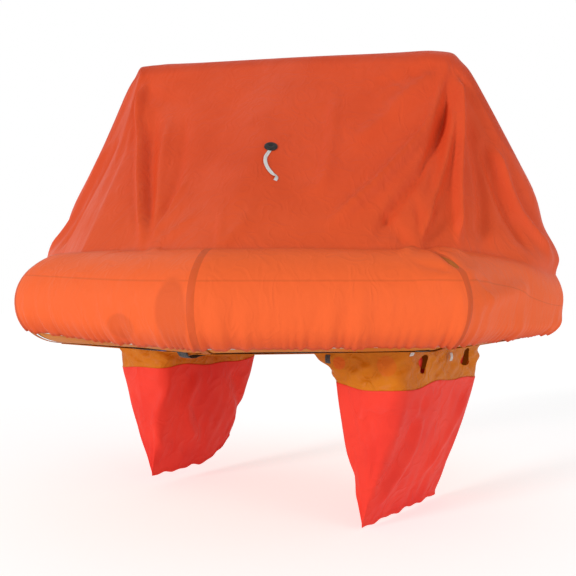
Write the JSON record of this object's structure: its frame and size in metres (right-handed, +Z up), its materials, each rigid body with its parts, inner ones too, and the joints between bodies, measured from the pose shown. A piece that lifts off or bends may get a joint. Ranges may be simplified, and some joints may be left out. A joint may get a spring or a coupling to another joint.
{
  "type": "inflated canopied liferaft",
  "caption": "Inflated liferaft: single ring tube with a tent over an inflated arch, a rear doorway and two hanging ballast bags.",
  "frame": {"origin": "centre of the floor's underside", "axes": "+X along the ridge of the tent, -Y the closed front of the tent, +Z up"},
  "size_m": [2.2072, 2.2064, 1.7822],
  "materials": {
    "orange_cloth": "coated nylon canopy cloth, satin",
    "tube_fabric": "coated tube fabric, satin",
    "floor_fabric": "coated floor fabric, satin",
    "collar_cloth": "thin yellow cloth, satin",
    "bag_cloth": "thin red bag cloth, satin",
    "black_webbing": "woven webbing",
    "grey_webbing": "woven webbing",
    "white_webbing": "woven tape",
    "blue_tag": "woven tag",
    "black_rubber": "moulded rubber",
    "valve_plastic": "moulded plastic",
    "cylinder_paint": "painted steel",
    "brass": "machined brass"
  },
  "bodies": {
    "raft": {"buoyancy_tube": "tube_fabric", "joint_tape_1": "tube_fabric", "joint_tape_2": "tube_fabric", "joint_tape_3": "tube_fabric", "joint_tape_4": "tube_fabric", "joint_tape_5": "tube_fabric", "joint_tape_6": "tube_fabric", "joint_tape_7": "tube_fabric", "joint_tape_8": "tube_fabric", "floor": "floor_fabric", "arch_tube": "tube_fabric", "canopy": "orange_cloth", "hem_cord": "white_webbing", "door_flap_roll": "orange_cloth", "door_tie_1": "white_webbing", "door_tie_2": "white_webbing", "drain_flange": "black_rubber", "drain_tape": "white_webbing", "ballast_collar_right": "collar_cloth", "ballast_bag_right": "bag_cloth", "ballast_collar_left": "collar_cloth", "ballast_bag_left": "bag_cloth", "right_bag_tab_1": "white_webbing", "right_bag_tab_2": "white_webbing", "right_bag_tab_3": "white_webbing", "right_bag_tab_4": "white_webbing", "left_bag_tab_1": "white_webbing", "left_bag_tab_2": "white_webbing", "left_bag_tab_3": "white_webbing", "left_bag_tab_4": "white_webbing", "righting_strap": "black_webbing", "handle_strap": "black_webbing", "blue_tag": "blue_tag", "retrieval_strap": "grey_webbing", "gas_cylinder": "cylinder_paint", "cylinder_strap_1": "black_webbing", "cylinder_strap_2": "black_webbing", "cylinder_head": "brass", "inlet_valve": "black_rubber", "inflation_hose": "black_rubber", "topup_valve_1_body": "valve_plastic", "topup_valve_2_body": "valve_plastic", "relief_valve_1": "valve_plastic", "relief_valve_2": "valve_plastic"},
    "valve_cap_1": {"topup_valve_1_cap": "black_rubber"},
    "valve_cap_2": {"topup_valve_2_cap": "black_rubber"}
  },
  "joints": [
    {"name": "valve_cap_1_turn", "type": "hinge", "parent": "raft", "child": "valve_cap_1", "pos_m": [0.14713, 0.72841, 0.22666], "axis": [-0.3379, -0.8157, 0.4695], "range_deg": [0, 90]},
    {"name": "valve_cap_2_turn", "type": "hinge", "parent": "raft", "child": "valve_cap_2", "pos_m": [0.31207, 0.6601, 0.22666], "axis": [-0.3379, -0.8157, 0.4695], "range_deg": [0, 90]}
  ]
}
